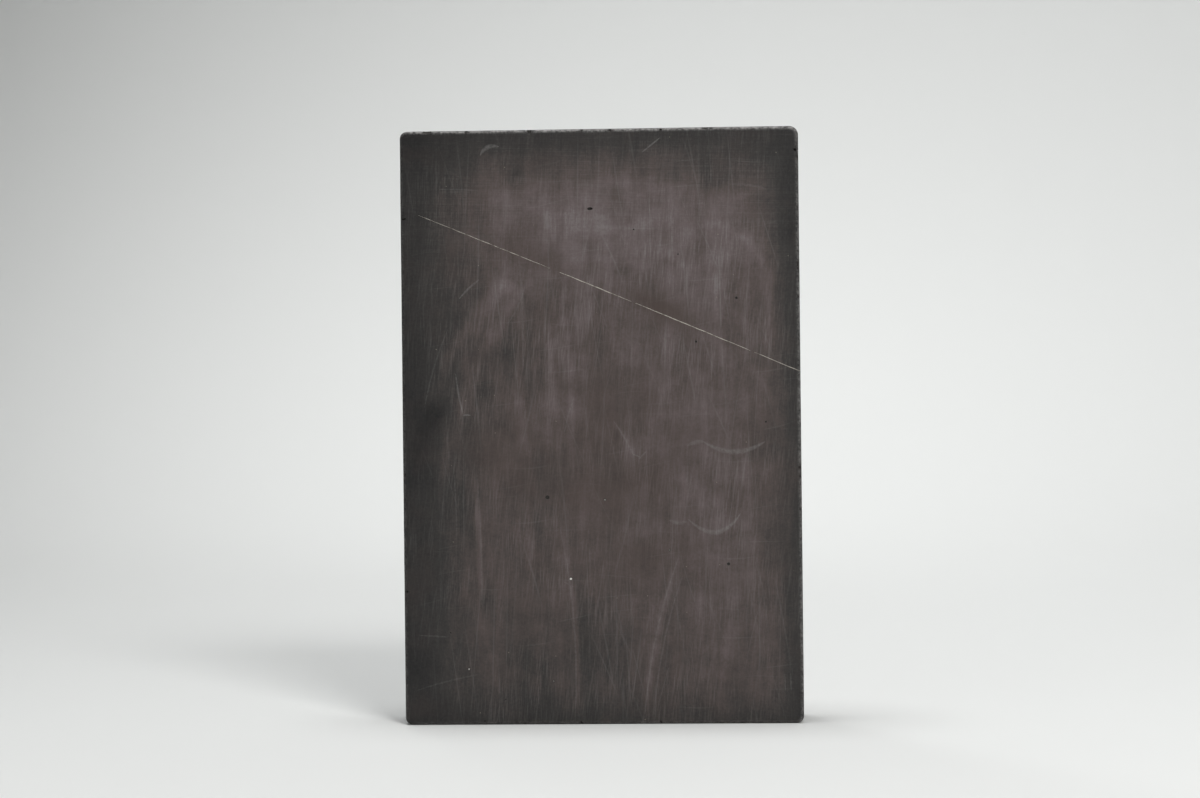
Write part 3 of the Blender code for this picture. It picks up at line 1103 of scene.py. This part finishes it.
def streaks(place, lean, fine, long):
    """Noise stretched along the upright, leaning by some degrees; sizes in mm."""
    turned = put(tree_of(place), "ShaderNodeVectorRotate",
                 {"Vector": place, "Axis": (0.0, 1.0, 0.0), "Angle": math.radians(lean)})
    return noise(vec("DIVIDE", turned.outputs[0], (fine, fine, long)), 1.0, 2.0, 0.5)


print(len(HAZE_COLOURS), "haze colours")

# %% Haze and dust


def add_stray_lines(tree, flat_place):
    total = None
    for lean, apart, length, width, share, amount in LINE_LAYERS:
        mark = put(tree, "ShaderNodeGroup",
                   {"Place": flat_place, "Lean": math.radians(lean), "Apart": apart, "Length": length,
                    "Width": width, "Share": share}, node_tree=STRAY_LINES).outputs[0]
        weighed = mul(mark, amount)
        total = weighed if total is None else add(total, weighed)
    return total


def haze_value(tree, place, grain, hair):
    """The painted haze, clouded and drawn out in the wiping direction."""
    broad = sub(streaks(place, -3.0, 2.2, 70.0), 0.5)
    cloud = sub(noise(place, 0.13, 5.0, 0.62), 0.5)
    play = add(mul(broad, 0.36), mul(cloud, 0.92))
    play = add(play, mul(hair, 0.35))
    painted = attribute(tree, "haze")
    haze = add(painted, mul(play, add(painted, 0.08)))
    return add(haze, mul(grain, 0.42))


def dust_value(tree, place, grain, hair):
    """Grey dust that sits in the fine lines: the hair-fine ones, the stray ones and the single marks."""
    x, y, z = split(place)
    flat_place = join(x, z, 0.0)
    on_front = calc("LESS_THAN", y, FRONT_Y / MM + 1.0)
    weave = sub(streaks(place, 88.0, 0.4, 18.0), 0.5)
    upper = put(tree, "ShaderNodeMapRange", {"Value": z, "From Min": 135.0, "From Max": 172.0}).outputs[0]
    fine = add(hair, mul(weave, upper))
    fine = mul(most(fine, 0.0), 0.62)
    # Leaning the pattern inwards lays it over the sides and the top too, and leaves the front as it is.
    inwards = sub(y, FRONT_Y / MM)
    lean_place = join(add(x, inwards), add(z, mul(inwards, 0.6)), 0.0)
    lines = add(fine, add_stray_lines(tree, lean_place))
    lines = mul(lines, add(attribute(tree, "haze"), 0.12))
    scratches = mul(add_scratches(tree, flat_place), on_front)
    ragged = mul(scratches, add(0.5, mul(grain, 1.8)))
    return add(lines, mul(most(ragged, 0.0), 0.62))


print(len(LINE_LAYERS), "layers of stray lines")

# %% Stone material


def start_material(material):
    """A material's tree, its shader, and the place on the piece in mm."""
    material.use_nodes = True
    tree = material.node_tree
    place = scaled(put(tree, "ShaderNodeTexCoord").outputs["Object"], 1.0 / MM)
    return tree, tree.nodes["Principled BSDF"], place


def finish_material(tree, shader, colour, rough, relief, strength):
    """Link a colour, a roughness and a relief of a few hundredths of a millimetre to the shader."""
    bump = put(tree, "ShaderNodeBump", {"Height": relief, "Strength": strength, "Distance": 0.02 * MM})
    for socket, value in (("Base Color", colour), ("Roughness", rough), ("Normal", bump.outputs[0])):
        tree.links.new(value, shader.inputs[socket])


def dress_stone(material):
    tree, shader, place = start_material(material)
    grain = sub(noise(place, 1.1, 4.0, 0.78), 0.5)
    hair = add(streaks(place, 1.0, 0.34, 19.0), streaks(place, -9.0, 0.60, 15.0))
    patchy = noise(vec("ADD", place, (40.0, 0.0, 0.0)), 0.045, 3.0, 0.6)
    patchy = most(calc("MULTIPLY_ADD", patchy, 4.5, -1.35), 0.15)
    hair = mul(sub(hair, 1.0), patchy)
    haze = haze_value(tree, place, grain, hair)
    colour = colour_ramp(haze, HAZE_COLOURS)
    dust = least(dust_value(tree, place, grain, hair), 0.8)
    colour = mix(dust, colour, DUST_COLOUR)

    # The rock itself is a little brown in places, above all next to the vein.
    brown = mul(sub(noise(place, 0.07, 3.0, 0.6), 0.5), 0.9)
    stain = add(attribute(tree, "stain"), brown)
    colour = mix(least(most(stain, 0.0), 0.8), colour, STAIN_COLOUR)

    # Bright mineral specks, one in every few cells.
    cells = put(tree, "ShaderNodeTexVoronoi", {"Vector": place, "Scale": 0.20})
    chosen = calc("GREATER_THAN", split(cells.outputs["Color"])[0], 0.60)
    near = calc("LESS_THAN", cells.outputs["Distance"], 0.034)
    speck = mul(chosen, near, 0.45)
    colour = mix(speck, colour, SPECK_COLOUR)

    # The arris is paler where rubbed, and much paler along the top and right, which is painted highlight;
    # broken stone is clean and dark with a bruised rim.
    worn = add(noise(place, 0.16, 4.0, 0.7), mul(grain, 2.6))
    worn = most(calc("MULTIPLY_ADD", worn, 1.9, -0.35), 0.0)
    wear_and_highlight = least(mul(attribute(tree, "wear_and_highlight"), worn), 0.9)
    colour = mix(wear_and_highlight, colour, ARRIS_WEAR_AND_HIGHLIGHT_COLOUR)
    broken = attribute(tree, "broken")
    colour = mix(broken, colour, BROKEN_COLOUR)
    rim = mul(broken, sub(1.0, broken), 2.0)
    colour = mix(rim, colour, RIM_COLOUR)

    rough = add(0.42, mul(haze, 0.22), mul(broken, 0.25))
    relief = add(mul(grain, 0.6), mul(hair, 0.4))
    shader.inputs["Specular IOR Level"].default_value = 0.25
    finish_material(tree, shader, colour, rough, relief, 0.5)


dress_stone(STONE)
print("stone material:", len(STONE.node_tree.nodes), "nodes")

# %% [markdown]
# ## The vein
# The vein is a crack that filled with quartz and calcite: a thin sheet right through the slab, seen as a
# line on the front, the right side and the back. It swells, thins and breaks off, and goes on after a
# short bridge of stone. Each lens is a grid cube pressed into a thin plate by a rule, with a ragged
# thickness. It is cut to the slab's own rounded form, a hair larger, because honing wears the harder
# mineral less than the stone.

# %% Vein rule
VEIN_FALL = math.tan(math.radians(22.87))
VEIN_DROP = 53.7 * MM           # from the top edge to the vein at the slab's middle
VEIN_BOW = 0.27 * MM / (61.0 * MM) ** 2
VEIN_RISE = 3.0 * MM / SLAB_SIZE.y
VEIN_PROUD = 0.03 * MM
VEIN_TIP_MILK = 0.80            # the vein is greyer towards its left tip
VEIN_TIP = (-62.0, -46.0)       # where along x that fades out, in mm
PAST_EDGE = 2.0 * MM            # how far the last lens runs on before it is cut flush
# (node, thickness at the middle, share of it left at the tips)
VEIN_LENSES = (
    ("vein_lens_1", 0.22 * MM, 0.20),
    ("vein_lens_2", 0.28 * MM, 0.40),
    ("vein_lens_3", 0.27 * MM, 0.45),
    ("vein_lens_4", 0.22 * MM, 0.55),
)


def vein_tree():
    tree, given, out = new_tree("vein lens", (
        ("Start", "Float"), ("End", "Float"), ("Height", "Float"), ("Fall", "Float", VEIN_FALL),
        ("Bow", "Float", VEIN_BOW), ("Rise", "Float", VEIN_RISE), ("Thickness", "Float"),
        ("Tip share", "Float"), ("Half size", "Vector"), ("Proud", "Float", VEIN_PROUD),
        ("Corner radius", "Float", CORNER_RADIUS), ("Arris radius", "Float", ARRIS_RADIUS),
        ("Material", "Material")))
    length = sub(given["End"], given["Start"])
    half_y = split(given["Half size"])[1]
    steps = div(length, 0.35 * MM)
    plate = put(tree, "GeometryNodeMeshCube",
                {"Size": (2.0, 2.0, 2.0), "Vertices X": steps, "Vertices Y": 36, "Vertices Z": 2})
    px, py, pz = split(position(tree))
    share = mul(add(px, 1.0), 0.5)
    x = add(given["Start"], mul(share, length))
    y = mul(py, add(half_y, 1.0 * MM))
    hump = calc("SINE", mul(share, math.pi))
    swell = calc("SQRT", most(hump, 0.0))
    body = add(given["Tip share"], mul(swell, sub(1.0, given["Tip share"])))
    spot = join(x, y, 0.0)
    ragged = add(1.0, swing(noise(spot, 900.0, 3.0, 0.7), 0.9))
    half = mul(given["Thickness"], 0.5 / math.cos(math.atan(VEIN_FALL)), mul(body, most(ragged, 0.25)))
    sag = mul(given["Bow"], mul(x, x))
    line = sub(given["Height"], add(mul(x, given["Fall"]), sag))
    back = mul(add(y, half_y), given["Rise"])
    stray = swing(noise(spot, 260.0, 2.0), 0.16 * MM)
    z = add(line, back, add(stray, mul(pz, half)))
    bent = move(tree, plate.outputs["Mesh"], Position=join(x, y, z))

    grown_half = vec("ADD", given["Half size"], join(given["Proud"], given["Proud"], 0.0))
    form = put(tree, "GeometryNodeGroup",
               {"Half size": grown_half, "Corner radius": given["Corner radius"], "Worn corner": 0.0,
                "Arris radius": given["Arris radius"], "Arris play": 0.0, "Knee": (0.6, 0.6, 0.6),
                "Band": 2.0 * MM, "Cells X": 20, "Cells Y": 20, "Cells Z": 20}, node_tree=ROUNDED_BLOCK)
    flush = put(tree, "GeometryNodeMeshBoolean", operation="INTERSECT", solver="EXACT")
    for part in (bent, form.outputs["Geometry"]):
        tree.links.new(part, flush.inputs["Mesh 2"])
    finish_tree(tree, out, flush.outputs["Mesh"], given["Material"])
    return tree


VEIN = bpy.data.materials.new("vein_quartz")
VEIN_TREE = vein_tree()
print("vein tree:", len(VEIN_TREE.nodes), "nodes")

# %% Vein lenses


def hand_over(piece, node):
    """The piece rides on the only body, and stands for one plain CAD node."""
    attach(piece, "root")
    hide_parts(node)


def grow_vein():
    for number, (node, thickness, tip_share) in enumerate(VEIN_LENSES, 1):
        low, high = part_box(node)
        last = node == VEIN_LENSES[-1][0]
        piece = grow(f"vein_mineral_{number}", VEIN_TREE, {
            "Start": low[0], "End": high[0] + (PAST_EDGE if last else 0.0), "Height": HEIGHT - VEIN_DROP,
            "Thickness": thickness, "Tip share": tip_share,
            "Half size": (HALF_WIDTH, HALF_DEPTH, HEIGHT / 2), "Material": VEIN})
        clean_cut(piece.data)
        from_tip = ramp(corners_of(piece.data)[0], *VEIN_TIP)
        keep_values(piece.data, "milk", VEIN_TIP_MILK + (1.0 - VEIN_TIP_MILK) * from_tip)
        shade(piece.data, 40.0)
        hand_over(piece, node)
        print(piece.name, len(piece.data.polygons), "faces")


grow_vein()

# %% [markdown]
# ## The filled bubbles
# Each grain is a lump of mineral that filled an old gas bubble and was ground flush with the face. One
# tree makes a lumpy ball, and cuts it off a hair above the stone.

# %% Mineral grains
GRAIN_LUMPS = 0.22          # how far the lumps go, as a share of the radius
GRAIN_DEPTH = 0.45          # how deep the middle lies behind the face, as a share of the radius
GRAIN_PROUD = 0.01 * MM


def grain_tree():
    tree, given, out = new_tree("grain", (
        ("Centre", "Vector"), ("Radius", "Float"), ("Face Y", "Float"), ("Lumps", "Float", GRAIN_LUMPS),
        ("Milk", "Float"), ("Material", "Material")))
    ball = put(tree, "GeometryNodeMeshIcoSphere", {"Radius": 1.0, "Subdivisions": 4}).outputs[0]
    place = position(tree)
    far = vec("ADD", scaled(given["Centre"], 900.0), place)
    lump = add(1.0, swing(noise(far, 1.1, 2.0), given["Lumps"]))
    size = mul(given["Radius"], lump)
    spot = vec("ADD", scaled(place, size), given["Centre"])
    x, y, z = split(spot)
    ground = most(y, given["Face Y"])
    moved = move(tree, ball, Position=join(x, ground, z))
    finish_tree(tree, out, store(tree, moved, "milk", given["Milk"]), given["Material"])
    return tree


MINERAL = bpy.data.materials.new("white_mineral")
GRAIN_TREE = grain_tree()
for number, (bubble, filled, milk) in enumerate(zip(BUBBLES, GRAIN_SHARES, GRAIN_MILK), 1):
    radius = bubble.grain * filled
    centre = (bubble.x, FRONT_Y + radius * GRAIN_DEPTH, bubble.z)
    piece = grow(f"filled_bubble_{number}", GRAIN_TREE, {
        "Centre": centre, "Radius": radius, "Milk": milk, "Face Y": FRONT_Y - GRAIN_PROUD,
        "Material": MINERAL})
    shade(piece.data, 40.0)
    hand_over(piece, bubble.node)
print(len(BUBBLES), "grains, the last of", len(piece.data.polygons), "faces")

# %% [markdown]
# ## The mineral's material
# Quartz and calcite are pale and a little see-through, but in a vein this thin all that shows is that the
# colour isn't even: milky in places, and stained by the stone in others. How milky is kept at the points
# as `milk`: each grain has its own, and the vein gets greyer towards its left tip.

# %% Mineral materials


def dress_mineral(material, size, *stops):
    """Blotches of some size in mm, between two colours: (tone, linear colour)."""
    tree, shader, place = start_material(material)
    blotch = noise(place, 1.0 / size, 3.0, 0.65)
    colour = colour_ramp(mul(blotch, attribute(tree, "milk")), stops)
    rough = add(0.30, mul(blotch, 0.25))
    finish_material(tree, shader, colour, rough, blotch, 0.4)


dress_mineral(VEIN, 2.2, (0.34, (0.10, 0.085, 0.070)), (0.56, (0.36, 0.335, 0.295)))
dress_mineral(MINERAL, 0.4, (0.05, (0.10, 0.090, 0.075)), (0.50, (0.70, 0.68, 0.64)))
print("minerals dressed")

# %% [markdown]
# ## Hand the pieces over
# The slab is handed over last, like the other pieces.

# %% Finish
hand_over(slab, "stone_slab")
